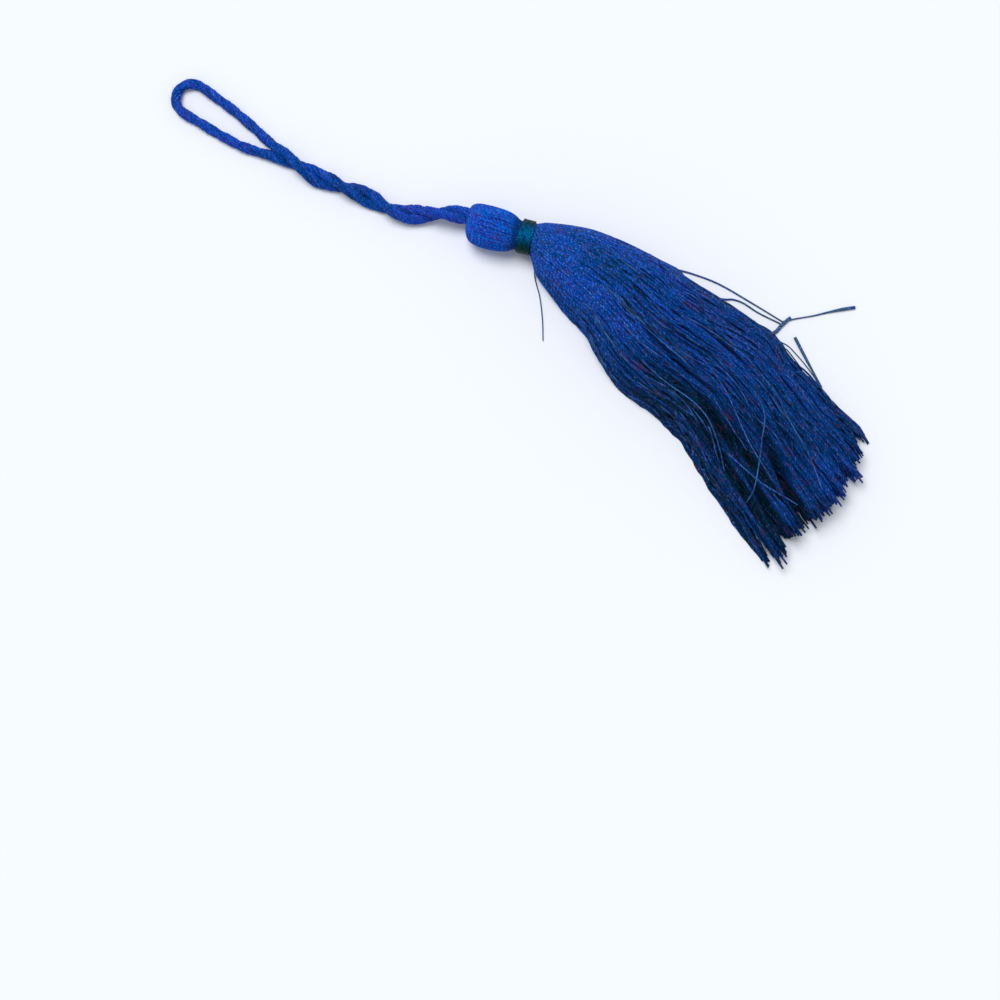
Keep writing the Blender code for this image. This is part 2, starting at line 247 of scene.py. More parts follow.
# Hanging loop: the twisted pair from the head to the fork, lift being what the head holds it over the
# floor, then the eye's middle line, spread being how far each leg stands off it
PAIR_ROWS = table(
    "x y lift",
    (-0.75, 0.78, 1.70),
    (-3.05, -0.50, 1.30),
    (-4.70, -1.90, 0.75),
    (-6.60, -3.30, 0.32),
    (-9.00, -4.85, 0.08),
    (-11.40, -5.70, 0.00),
    (-13.70, -6.00, 0.00),
    (-15.70, -6.40, 0.00),
    (-18.00, -7.10, 0.00),
    (-20.30, -7.85, 0.00),
    (-22.70, -8.50, 0.00),
    (-25.30, -8.85, 0.00),
    (-27.90, -9.15, 0.00),
    (-30.20, -9.50, 0.00),
)
EYE_ROWS = table(
    "x y spread",
    (-30.20, -9.50, 0.73),
    (-32.20, -9.85, 1.15),
    (-34.80, -10.20, 1.70),
    (-38.20, -10.45, 2.08),
    (-41.80, -10.70, 2.30),
    (-45.20, -11.00, 2.40),
)
LEG_SPACING = 1.46
HALF_TWISTS = 4
TWIST_START = 1.0
PAIR_STEPS = 27
EYE_STEPS = 8
TIP_STEPS = 7
CORD_PLACES = 320
CORD_INTO_HEAD = 1.6
HAIR_RADIUS = 0.000014
FLOOR_CLEARANCE = 0.02

# Fibres strewn along a thread: how fine their noise is, which part and how much detail of it they take, and
# the soft step that cuts them out of it. The scales below are of noise that is read in space instead.
# The flecks and the glints are painted highlights on the ply crests; the red fibres and the grain are dye
RED_FIBRES, HIGHLIGHT_FLECKS, DARK_GRAIN, PAINTED_GLINTS = table(
    "per_mm apart detail low high out_low out_high",
    (0.8, 20.0, 1.0, 0.61, 0.68, 0.0, 0.9),
    (2.6, 40.0, 2.0, 0.48, 0.64, 0.0, 1.0),
    (2.2, 60.0, 2.0, 0.40, 0.56, 0.70, 0.0),
    (2.2, 80.0, 1.0, 0.64, 0.71, 0.0, 1.0),
)
DYE_PATCHES = 130.0
RED_SPOTS = 598.0
FIBRES = 5200.0
DRAWN_OUT = (0.4, 1.0, 1.0)
BUMP_HEIGHT = 0.00007
AMOUNTS = ("Twist", "Ply Groove Shade", "Flecks", "Mottling", "Dye Patches")
DYES = ("First Ply", "Second Ply", "Dull Dye and Shade", "Deep Shade", "Red Fibre", "Fleck Highlight", "Painted Glint")
GROUP_INPUTS = {
    "NodeSocketVector": ("Thread UV", "Place"),
    "NodeSocketFloat": ("Tone", "Shade", *AMOUNTS),
    "NodeSocketColor": DYES,
}
GROUP_OUTPUTS = {"NodeSocketColor": ("Colour",), "NodeSocketFloat": ("Height", "Roughness")}
BLUE_LUSTRE, BLUE_LUSTRE_TINT = 0.09, (0.05, 0.40, 1.0)
GREEN_LUSTRE, GREEN_LUSTRE_TINT = 0.25, (0.0, 0.55, 0.75)
# Painted highlight: the binding's fleck and glint colour on the crests
BINDING_GLEAM = (0.01, 0.30, 0.36)
BINDING_LOOK = (5.0, 0.60, 0.35, 0.8, 300.0)

# Camera: what it looks at, and the ways that are right and up in its picture
CAMERA_TARGET = Vector((-0.0055, -0.0321, 0.0))
PICTURE_RIGHT = Vector((0.7817, 0.6236, 0.0)).normalized()
PICTURE_UP = Vector((-0.6236, 0.7817, 0.0)).normalized()


# ---- Sizes and colours ----


def setting(kind, name, description, default, **limits):
    """A property of a settings group: what kind it is, its label, what it says, its value and its limits."""
    return kind(name=name, description=description, default=default, **limits)


number = partial(setting, bpy.props.FloatProperty)
size = partial(number, unit="LENGTH", min=0.0)
share = partial(number, subtype="FACTOR", min=0.0, max=1.0)
angular = partial(number, subtype="ANGLE")
count = partial(setting, bpy.props.IntProperty, min=1)
colour = partial(setting, bpy.props.FloatVectorProperty, subtype="COLOR", size=3, min=0.0, max=1.0)


class TasselThreadSettings(bpy.types.PropertyGroup):
    blue: colour("Blue", "First ply of the skirt's and the head's thread", (0.0, 0.092, 0.740))
    violet: colour("Violet", "Second ply, strongest in patches", (0.030, 0.036, 0.550))
    # The teal is the dye of some threads and also painted shade in the ply grooves and shaded places; the
    # deep green below is painted shade only, the near black of the most shaded threads
    teal_dye_and_shade: colour("Teal", "Duller dye in some threads and in the hollows", (0.0, 0.028, 0.048))
    deep_shade: colour("Deep shade", "Nearly black dye between the locks", (0.0, 0.009, 0.014))
    red: colour("Red", "Stray red fibres spun into the thread", (0.085, 0.008, 0.055))
    # Painted highlights: the fleck and glint colours go on the ply crests and fade where shade is painted
    fleck_highlight: colour("Fleck Highlight", "Light fibres that catch the light", (0.060, 0.240, 0.950))
    painted_glint: colour("Painted Glint", "Sparse bright fibres", (0.170, 0.330, 0.820))
    twist: size("Twist", "Length of one full turn of the two plies", 0.0012)
    seed: count("Seed", "Start of the random draws of every thread", 41)


class TasselHeadSettings(bpy.types.PropertyGroup):
    threads: count("Threads", "Threads round the barrel in one layer", 84)
    thread_radius: size("Thread radius", "Half a head thread's thickness", 0.00015)
    # Painted light: a lighter copy of the thread's blue for the head, where the threads lie close and catch
    # more light
    blue: colour("Blue", "The head's thread, which lies close and looks lighter", (0.0, 0.130, 0.820))


class TasselSkirtSettings(bpy.types.PropertyGroup):
    shells: count("Shells", "Layers of thread from the skirt's outside to its middle", 18)
    shell_threads: count("Shell threads", "Threads in the outermost layer", 108)
    floor_threads: count("Floor threads", "Threads side by side on the floor under the skirt", 78)
    thread_radius: size("Thread radius", "Half a skirt thread's thickness at the cut end", 0.000173)
    strays: count("Strays", "Threads that slant over their neighbours on the skirt's top", 46)
    edge_threads: count("Edge threads", "Threads that bow out of the skirt's two sides", 22)
    loose: colour("Loose thread", "Greyer dye of the threads that have come out", (0.090, 0.180, 0.300))
    pale: colour("Pale thread", "Lighter dye of the threads that cross the skirt", (0.100, 0.260, 0.800))


class TasselBindingSettings(bpy.types.PropertyGroup):
    turns: count("Turns", "Turns of the binding thread round the neck", 9)
    thread_radius: size("Thread radius", "Half the binding thread's thickness", 0.00016)
    green: colour("Green", "Glossy thread of the binding", (0.0, 0.180, 0.540))
    # The binding's other ply, and also the colour of its painted shade
    dark_green_ply_and_shade: colour("Dark green ply and shade", "The binding thread's other ply", (0.0, 0.016, 0.014))


class TasselLoopSettings(bpy.types.PropertyGroup):
    cord_diameter: size("Cord diameter", "Thickness of the plied cord", 0.0014)
    yarns: count("Yarns", "Yarns round the cord's section", 17)
    turn: size("Turn", "Length of one turn of the cord's two plies", 0.0070)
    hairs: count("Hairs", "Fine hairs that stand off the cord", 2000)


class TasselStageSettings(bpy.types.PropertyGroup):
    floor: colour("Floor", "The pale floor", (0.832, 0.852, 0.910))
    key: number("Key light", "Strength of the window light", 2.25)
    softness: angular("Softness", "How wide the window light looks", math.radians(34.0))
    sky: share("Sky", "Brightness of the even light from all round", 0.50)
    lens: number("Lens", "The camera's lens", 85.0, unit="CAMERA")
    distance: size("Distance", "From the camera to what it looks at", 0.354)
    elevation: angular("Elevation", "How steeply the camera looks down", math.radians(84.0))


# ---- Curves and surfaces ----


def unit(vectors):
    """Each vector divided by its length."""
    return vectors / np.linalg.norm(vectors, axis=-1, keepdims=True)


def ramp(value, start, end):
    """How far a value has come from start to end, from 0 to 1."""
    return np.clip((value - start) / (end - start), 0.0, 1.0)


def wave(places, length, phase=0.0):
    """The sine of a phase that grows by a full turn with each length along the places."""
    return np.sin(FULL_TURN * places / length + phase)


def swung(places, low, high, count_of, rng):
    """A sine along the places for each thread, of a rate between low and high, and of any start."""
    return np.sin(places * rng.uniform(low, high, (count_of, 1)) + rng.uniform(0.0, 6.3, (count_of, 1)))


def along_table(knots, values, places):
    """A table's columns at any places between its rows.

    Between two rows each column is the cubic that has the rows' values and slopes, a row's slope being the
    mean of those to its neighbours. Before the first row and after the last it runs on straight.
    """
    slopes = np.gradient(values, knots, axis=0)
    row = np.clip(np.searchsorted(knots, places, side="right") - 1, 0, len(knots) - 2)
    span = (knots[row + 1] - knots[row])[..., None]
    t = np.clip((places - knots[row])[..., None] / span, 0.0, 1.0)
    curve = (2 * t**3 - 3 * t**2 + 1) * values[row] + (3 * t**2 - 2 * t**3) * values[row + 1]
    curve += span * ((t**3 - 2 * t**2 + t) * slopes[row] + (t**3 - t**2) * slopes[row + 1])
    past = (places - np.clip(places, knots[0], knots[-1]))[..., None]
    return curve + past * np.where(past < 0.0, slopes[0], slopes[-1])


def run_of(points):
    """Distance along a line of points, from its first one."""
    steps = np.linalg.norm(np.diff(points, axis=-2), axis=-1)
    return np.concatenate([np.zeros(steps.shape[:-1] + (1,)), np.cumsum(steps, axis=-1)], axis=-1)


def placed(points):
    """Points in millimetres from the head's end, in metres from the origin."""
    moved = np.array(points, dtype=float)
    moved[..., :2] += HEAD_END
    return moved * MM


def head_points(along, across, height):
    """Points of the head: along its middle line and across it, turned by its heading, at their height."""
    x = along * math.cos(HEAD_HEADING) - across * math.sin(HEAD_HEADING)
    y = along * math.sin(HEAD_HEADING) + across * math.cos(HEAD_HEADING)
    return placed(np.stack(np.broadcast_arrays(x, y, height), axis=-1))


def closed_tubes(name, paths, radii, aside, sides, tones, shades):
    """Round closed tubes along many paths at once, as one mesh.

    paths is tubes by places by 3, in metres. A ring's corner is the path's point plus the radius times the
    cosine of its angle along one way across the path and the sine along the other, and each end closes on a
    middle point. In the UV map u is the distance along the tube in millimetres and v the share of the way
    round. tone is kept for each tube and shade for each place.
    """
    tubes, places = paths.shape[:2]
    way = unit(np.gradient(paths, axis=1))
    first = unit(np.cross(np.broadcast_to(aside, way.shape), way))
    second = np.cross(way, first)
    turn = FULL_TURN * np.arange(sides) / sides
    ring = np.cos(turn)[:, None] * first[:, :, None] + np.sin(turn)[:, None] * second[:, :, None]
    corners = paths[:, :, None] + np.broadcast_to(radii, (tubes, places))[:, :, None, None] * ring
    verts = np.concatenate([corners.reshape(tubes, -1, 3), paths[:, :1], paths[:, -1:]], axis=1)

    place, side = np.indices((places - 1, sides)).reshape(2, -1, 1)
    quad_place, quad_side = place + (0, 0, 1, 1), side + (0, 1, 1, 0)
    start_middle, last_ring = places * sides, (places - 1) * sides
    around = np.arange(sides)[:, None]
    start_cap = np.hstack([np.full_like(around, start_middle), (around + (1, 0)) % sides])
    end_cap = np.hstack([np.full_like(around, start_middle + 1), last_ring + (around + (0, 1)) % sides])
    faces = [quad_place * sides + quad_side % sides, start_cap, end_cap]
    corner = np.concatenate([part.ravel() for part in faces])
    counts = np.repeat((4, 3), (len(place), 2 * sides))
    tube = np.arange(tubes)[:, None]
    starts = np.cumsum(counts) - counts + len(corner) * tube

    station = np.concatenate([quad_place.ravel(), np.repeat((0, places - 1), 3 * sides)])
    cap_v = (around + (0.5, 0.0, 1.0)).ravel() / sides
    u = (run_of(paths) / MM)[:, station]
    v = np.broadcast_to(np.concatenate([quad_side.ravel() / sides, cap_v, cap_v]), u.shape)
    shades = np.broadcast_to(shades, (tubes, places))
    shade = np.concatenate([np.repeat(shades, sides, axis=1), shades[:, :1], shades[:, -1:]], axis=1)
    tone = np.broadcast_to(np.asarray(tones)[:, None], shade.shape)

    mesh = bpy.data.meshes.new(name)
    mesh.vertices.add(shade.size)
    mesh.vertices.foreach_set("co", verts.ravel())
    mesh.loops.add(u.size)
    mesh.loops.foreach_set("vertex_index", (corner + shade.shape[1] * tube).ravel().astype(np.int32))
    mesh.polygons.add(starts.size)
    mesh.polygons.foreach_set("loop_start", starts.ravel().astype(np.int32))
    mesh.polygons.foreach_set("use_smooth", np.ones(starts.size, dtype=bool))
    mesh.update(calc_edges=True)
    mesh.uv_layers.new(name="thread").data.foreach_set("uv", np.stack([u, v], axis=-1).ravel())
    for kept, values in (("tone", tone), ("shade", shade)):
        mesh.attributes.new(kept, "FLOAT", "POINT").data.foreach_set("value", values.ravel())
    return mesh


def linked(name, data):
    """A new object in the scene, with the data."""
    made = bpy.data.objects.new(name, data)
    bpy.context.collection.objects.link(made)
    return made


def piece_from(mesh, material):
    """Puts a mesh into the scene as a piece that rides with the tassel."""
    piece = linked(mesh.name, mesh)
    mesh.materials.append(material)
    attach(piece, "root")
    return piece


# ---- Materials ----


def add_node(tree, kind, settings=None, inputs=None):
    """A node with its settings, its values, and its links from the sockets given as inputs."""
    node = tree.nodes.new(kind)
    for key, value in (settings or {}).items():
        setattr(node, key, value)
    for key, value in (inputs or {}).items():
        if isinstance(value, bpy.types.NodeSocket):
            tree.links.new(value, node.inputs[key])
        else:
            node.inputs[key].default_value = value
    return node


def maths(tree, operation, *values):
    """The result of a Math node."""
    return add_node(tree, "ShaderNodeMath", {"operation": operation}, dict(enumerate(values))).outputs[0]


def mixed(tree, factor, first, second):
    """One colour mixed into another."""
    node = add_node(tree, "ShaderNodeMix", {"data_type": "RGBA"}, {0: factor, 6: first, 7: second})
    return node.outputs[2]


def between(tree, value, low, high, out_low=0.0, out_high=1.0):
    """A value's place between two others, with soft ends."""
    node = add_node(
        tree,
        "ShaderNodeMapRange",
        {"interpolation_type": "SMOOTHSTEP"},
        {"Value": value, "From Min": low, "From Max": high, "To Min": out_low, "To Max": out_high},
    )
    return node.outputs["Result"]


def noise(tree, vector, scale, detail=1.0):
    """Noise of a scale, read at a vector."""
    values = {"Vector": vector, "Scale": scale, "Detail": detail}
    return add_node(tree, "ShaderNodeTexNoise", {}, values).outputs[0]


def twisted_thread_group():
    """Colour, height and roughness of a two-ply thread.

    The angle round the thread, less the turns made so far, says how near a point is to the crest of its ply
    and which ply it is on. Broad noise and the thread's own tone spread the dyes, and fine noise gives the
    fibres. Shade is painted in from the Shade input and in the grooves between the plies, and the flecks and
    glints on the crests are painted highlights.
    """
    group = bpy.data.node_groups.get("Twisted thread")
    if group:
        return group
    group = bpy.data.node_groups.new("Twisted thread", "ShaderNodeTree")
    for side, sockets in (("INPUT", GROUP_INPUTS), ("OUTPUT", GROUP_OUTPUTS)):
        for kind, names in sockets.items():
            for name in names:
                group.interface.new_socket(name, in_out=side, socket_type=kind)
    given = add_node(group, "NodeGroupInput").outputs
    times, plus, most = (partial(maths, group, kind) for kind in ("MULTIPLY", "ADD", "MAXIMUM"))
    soft = partial(between, group)

    along, round_share, _ = add_node(group, "ShaderNodeSeparateXYZ", {}, {0: given["Thread UV"]}).outputs
    turned = maths(group, "SUBTRACT", round_share, maths(group, "DIVIDE", along, given["Twist"]))
    ply_turn = times(plus(turned, times(given["Tone"], 37.0)), FULL_TURN)
    ply = maths(group, "COSINE", ply_turn)
    crest = maths(group, "ABSOLUTE", ply)
    mapping = {"Vector": given["Place"], "Scale": DRAWN_OUT}
    drawn_out = add_node(group, "ShaderNodeMapping", {}, mapping).outputs[0]
    dye = noise(group, drawn_out, given["Dye Patches"], 3.0)
    own = times(given["Tone"], 913.0)
    round_it = maths(group, "COSINE", times(round_share, FULL_TURN))

    def along_thread(per_mm, apart, detail=1.0):
        """Noise along the thread alone, different on every thread."""
        spot = {"X": times(along, per_mm), "Y": own, "Z": plus(round_it, apart)}
        return noise(group, add_node(group, "ShaderNodeCombineXYZ", {}, spot).outputs[0], 1.0, detail)

    def strewn(row):
        """The fibres of a row, cut out of the noise along the thread."""
        found = along_thread(row.per_mm, row.apart, row.detail)
        return soft(found, row.low, row.high, row.out_low, row.out_high)

    # The dyes: violet on the second ply and teal in some threads, and painted shade from Shade and the ply
    # grooves
    fibres = noise(group, given["Place"], FIBRES, 2.0)
    tint = plus(times(dye, 0.55), times(along_thread(0.33, 5.0), 0.45))
    # Painted shade: the Shade attribute, its contrast set by the dye noise
    uneven = maths(group, "POWER", given["Shade"], soft(dye, 0.32, 0.68, 0.65, 1.45))
    violet = times(soft(tint, 0.48, 0.56), plus(0.30, soft(ply, -0.3, 0.3)))
    # The violet fades where shade is painted
    violet = times(violet, soft(uneven, 0.35, 0.75, 1.0, 0.25))
    mottled = times(soft(tint, 0.48, 0.40, 0.0, 0.8), given["Mottling"])
    # Painted shade in the grooves between the two plies
    groove_shade = times(maths(group, "SUBTRACT", 1.0, crest), given["Ply Groove Shade"])
    shadowed = mixed(group, soft(uneven, 0.45, 0.85), given["Dull Dye and Shade"], given["Deep Shade"])
    colour_1 = mixed(group, violet, given["First Ply"], given["Second Ply"])
    colour_2 = mixed(group, most(most(mottled, uneven), groove_shade), colour_1, shadowed)

    # Red fibres, dull grain, and painted highlights: flecks on the lit crests and glints that need less
    # light
    spots = soft(noise(group, drawn_out, RED_SPOTS), 0.66, 0.76, 0.0, 0.6)
    red = times(most(strewn(RED_FIBRES), spots), given["Mottling"])
    colour_3 = mixed(group, red, colour_2, given["Red Fibre"])
    lit = times(maths(group, "SUBTRACT", 1.0, times(uneven, 0.9)), given["Flecks"])
    highlight_flecks = times(strewn(HIGHLIGHT_FLECKS), lit)
    colour_4 = mixed(group, times(highlight_flecks, crest), colour_3, given["Fleck Highlight"])
    grain = times(strewn(DARK_GRAIN), given["Mottling"])
    colour_5 = mixed(group, grain, colour_4, given["Dull Dye and Shade"])
    painted_glints = times(strewn(PAINTED_GLINTS), plus(times(lit, 0.75), times(given["Flecks"], 0.25)))
    colour_6 = mixed(group, times(painted_glints, crest), colour_5, given["Painted Glint"])
    height = plus(crest, times(fibres, 0.5))
    rough = soft(fibres, 0.3, 0.7, 0.38, 0.62)
    add_node(group, "NodeGroupOutput", {}, {"Colour": colour_6, "Height": height, "Roughness": rough})
    return group


def thread_material(name, look, lustre, lustre_tint):
    """A thread's material: the twisted thread's look under a shader with the dyed fibre's own lustre."""
    material = bpy.data.materials.new(name)
    material.use_nodes = True
    tree = material.node_tree
    shader = tree.nodes["Principled BSDF"]
    given = {
        "Thread UV": add_node(tree, "ShaderNodeUVMap", {"uv_map": "thread"}).outputs[0],
        "Place": add_node(tree, "ShaderNodeTexCoord").outputs["Object"],
        "Tone": add_node(tree, "ShaderNodeAttribute", {"attribute_name": "tone"}).outputs["Fac"],
        "Shade": add_node(tree, "ShaderNodeAttribute", {"attribute_name": "shade"}).outputs["Fac"],
    }
    group = add_node(tree, "ShaderNodeGroup", {"node_tree": twisted_thread_group()}, {**given, **look})
    bumps = {"Height": group.outputs["Height"], "Strength": 1.0, "Distance": BUMP_HEIGHT}
    bump = add_node(tree, "ShaderNodeBump", {}, bumps)
    tree.links.new(group.outputs["Colour"], shader.inputs["Base Color"])
    tree.links.new(group.outputs["Roughness"], shader.inputs["Roughness"])
    tree.links.new(bump.outputs["Normal"], shader.inputs["Normal"])
    shader.inputs["Specular IOR Level"].default_value = lustre
    shader.inputs["Specular Tint"].default_value = with_alpha(lustre_tint)
    return material


def with_alpha(value):
    """A colour with an alpha of one."""
    return (*value, 1.0)


def look_of(dyes, *amounts):
    """Values for the twisted thread's inputs, in the order of DYES and of AMOUNTS."""
    return {**dict(zip(DYES, map(with_alpha, dyes))), **dict(zip(AMOUNTS, amounts))}


def blue_thread(settings, name, highlight_flecks, mottling=1.0, first_ply=None, ply_groove_shade=0.78):
    """The material of the tassel's blue thread, or of a strand of it with another first ply: another dye for
    the pale and the loose threads, painted light for the lighter head and fuzz.
    """
    plies = (first_ply or settings.blue, settings.violet, settings.teal_dye_and_shade, settings.deep_shade)
    dyes = (*plies, settings.red, settings.fleck_highlight, settings.painted_glint)
    look = look_of(dyes, settings.twist / MM, ply_groove_shade, highlight_flecks, mottling, DYE_PATCHES)
    return thread_material(name, look, BLUE_LUSTRE, BLUE_LUSTRE_TINT)


# ---- Head ----


def head_threads(threads, radius, rng):
    """Threads from the cord's entry over the barrel to the neck, in two layers.

    Each keeps its angle round the middle line, with a small drift, and its distance from the line is the
    barrel's radius. Where that would go through the floor it is pressed level.
    """
    rows = np.array(HEAD_ROWS)
    knots = run_of(rows[:, :2])
    along, barrel, entry = along_table(knots, rows, np.linspace(0.0, knots[-1], HEAD_PLACES)).T
    both = 2 * threads
    turn = (np.arange(both) + rng.uniform(-0.3, 0.3, both)) * FULL_TURN / threads
    turn += np.repeat((0.0, 0.5 * FULL_TURN / threads), threads)
    layer = np.repeat((0.0, HEAD_LAYER_GAP), threads)
    drift = rng.uniform(-0.05, 0.05, (both, 1)) * (along / 8.0)
    sway = rng.uniform(0.01, 0.03, (both, 1))
    drift += sway * np.sin(along * 1.1 + rng.uniform(0.0, 6.3, (both, 1)))
    angle = turn[:, None] + drift + 0.02 * along
    spare = rng.uniform(0.0, 0.05, (both, 1))
    away = np.maximum(barrel - radius / MM - layer[:, None] - spare, 0.2)
    across = entry * ENTRY_ACROSS + away * np.cos(angle)
    height = np.maximum(AXIS_HEIGHT + away * np.sin(angle), radius / MM + 0.01)
    paths = head_points(along, across, height)
    around = head_points(0.0, -np.sin(angle), np.cos(angle)) - head_points(0.0, 0.0, 0.0)
    tones = np.clip(HEAD_TONE + rng.uniform(-0.4, 0.4, both), 0.0, 1.0)
    # Painted shade: the threads darken towards the neck
    return paths, around, tones, 0.75 * ramp(along, 4.8, 7.2) ** 2


class TASSEL_OT_build_head(bpy.types.Operator):
    """Lays the head's threads over its barrel"""

    bl_idname = "tassel.build_head"
    bl_label = "Build head"

    def execute(self, context):
        thread, head = context.scene.tassel_thread, context.scene.tassel_head
        rng = np.random.default_rng(thread.seed)
        paths, around, tones, shades = head_threads(head.threads, head.thread_radius, rng)
        mesh = closed_tubes("head_threads", paths, head.thread_radius, around, 6, tones, shades)
        # Painted light: the head's threads take the lighter head blue as their first ply
        piece = piece_from(mesh, blue_thread(thread, "Head thread", 0.55, 0.40, head.blue))
        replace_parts(piece, "head_and_skirt")
        return {"FINISHED"}


# ---- Skirt ----

SKIRT_TABLE = np.array(SKIRT_ROWS)
BANK_TABLE = np.array(BANK_ROWS)
BANK_KNOTS = BANK_TABLE[:, 0]
SKIRT_KNOTS = run_of(SKIRT_TABLE[:, :2])
SKIRT_RUN = SKIRT_KNOTS[-1]


def dome(across):
    """Height of the bundle's round top over each place across it, for a width and a height of one."""
    return np.sqrt(np.maximum(0.0, 1.0 - across**2))


def half_width_at(places):
    """Half the skirt's width at each place, read from its sections."""
    return along_table(SKIRT_KNOTS, SKIRT_TABLE, places)[..., 3]


def skirt_points(places, across, level, clearance):
    """Places of the bundle carried to the skirt's sections, in millimetres.

    across runs from -1 to 1 and level from 0, the underside, up. A round section keeps the bundle's disc,
    and a resting one slides each upright column of it down until its foot is level.
    """
    columns = np.moveaxis(along_table(SKIRT_KNOTS, SKIRT_TABLE, places), -1, 0)
    x, y, heading, half_width, base, height, rest = columns
    turn = np.radians(heading)
    aside = half_width * across
    drop = (1.0 - rest) * (1.0 - dome(across)) / 2.0
    z = np.maximum(base + height * (level + drop), clearance)
    return np.stack([x - np.sin(turn) * aside, y + np.cos(turn) * aside, z], axis=-1)


def parted(places, across, level):
    """Moves threads away from the partings and lets them sink into them, and says how deep they have sunk.

    A parting is a bell across the skirt round a line that drifts from its first place to its last.
    """
    sunk = 0.0
    for row in PARTING_ROWS:
        drifted = ramp(places, row.start, row.end)
        middle = row.across_start + (row.across_end - row.across_start) * drifted
        rise = ramp(places, row.start, row.start + 10.0) * ramp(places, row.end + 8.0, row.end)
        off = (across - middle) / row.width
        bell = np.exp(-(off**2)) * rise
        across = across + 0.5 * row.width * off * bell
        level = level * (1.0 - row.depth * bell)
        sunk = np.maximum(sunk, row.depth * bell)
    return across, level, sunk


def gathered(across, level):
    """The middle of each thread's tuft, and the thread's length past the last section.

    A thread belongs to the tuft nearest to it, and is shorter by the tuft's notch times a power of its
    distance from the tuft's middle, as a share of the distance to the tuft's edge.
    """
    tufts = np.array(TUFT_ROWS)
    bounds = (tufts[1:, 0] + tufts[:-1, 0]) / 2.0
    seen = across + 0.015 * np.sin(7.0 * level)
    own = np.searchsorted(bounds, seen)
    middle, tip, notch = tufts[own].T
    low, high = np.append(-TUFT_LIMIT, bounds)[own], np.append(bounds, TUFT_LIMIT)[own]
    half = np.where(seen < middle, middle - low, high - middle)
    off = np.clip(np.abs(seen - middle) / np.maximum(half, 0.02), 0.0, 1.0)
    return middle, tip - TIP_BACK - NOTCH_DEPTH * notch * off**0.8


def skirt_seeds(settings, rng):
    """Where each thread of the skirt lies in the bundle, and its shell.

    The shells are half circles one inside the other, on which the threads stand at even distances along the
    half ellipse of the cut end. The last row is on the floor, and counts to the outermost shell.
    """
    end = SKIRT_ROWS[-1]
    sweep = np.linspace(0.0, np.pi, 400)
    run = run_of(np.stack([end.half_width * np.cos(sweep), end.height * np.sin(sweep)], axis=-1))
    across, level, shell_of = [], [], []
    for shell in range(settings.shells):
        reach = 1.0 - (shell + 0.3) / (settings.shells + 1.0)
        threads = max(4, round(settings.shell_threads * reach))
        spots = (np.arange(threads) + 0.5 + rng.uniform(-0.35, 0.35, threads)) / threads
        angle = np.interp(spots * run[-1], run, sweep)
        apart = reach + rng.uniform(-0.016, 0.016, threads)
        across.append(apart * np.cos(angle))
        level.append(apart * np.sin(angle))
        shell_of.append(np.full(threads, shell))
    on_floor = settings.floor_threads
    spots = np.linspace(-1.0, 1.0, on_floor)
    spots = 0.98 * (0.6 * spots + 0.4 * np.sin(0.5 * np.pi * spots))
    across.append(spots + rng.uniform(-0.006, 0.006, on_floor))
    level.append(rng.uniform(0.0, 0.03, on_floor))
    shell_of.append(np.zeros(on_floor, dtype=int))
    return np.concatenate(across), np.concatenate(level), np.concatenate(shell_of)


def lock_waves(places, across, rng):
    """Broad unevenness of the bundle: a sum of slanting waves across and along it, about -1 to 1."""
    waves = 14
    across_rate, along_rate = rng.uniform(2.5, 17.0, waves), rng.uniform(-0.035, 0.035, waves)
    start = rng.uniform(0.0, FULL_TURN, waves)
    turns = across[..., None] * across_rate + places[..., None] * along_rate
    return np.sin(FULL_TURN * turns + start).sum(axis=-1) / np.sqrt(2.0 * waves)


def painted_patch_shade(places, across):
    """How much painted shade the patches add at each place: bells round their middles, added up."""
    darker = 0.0
    for row in PAINTED_SHADE_PATCHES:
        off = ((places - row.place) / row.length) ** 2 + ((across - row.across) / row.width) ** 2
        darker = darker + row.darker * np.exp(-off)
    return darker


def banked(places, across):
    """Places across the skirt moved with its banks, by the bank's distance times the square of the place."""
    left, right = np.moveaxis(along_table(BANK_KNOTS, BANK_TABLE, places)[..., 1:], -1, 0)
    return across + np.where(across > 0.0, left, -right) * across**2 / half_width_at(places)


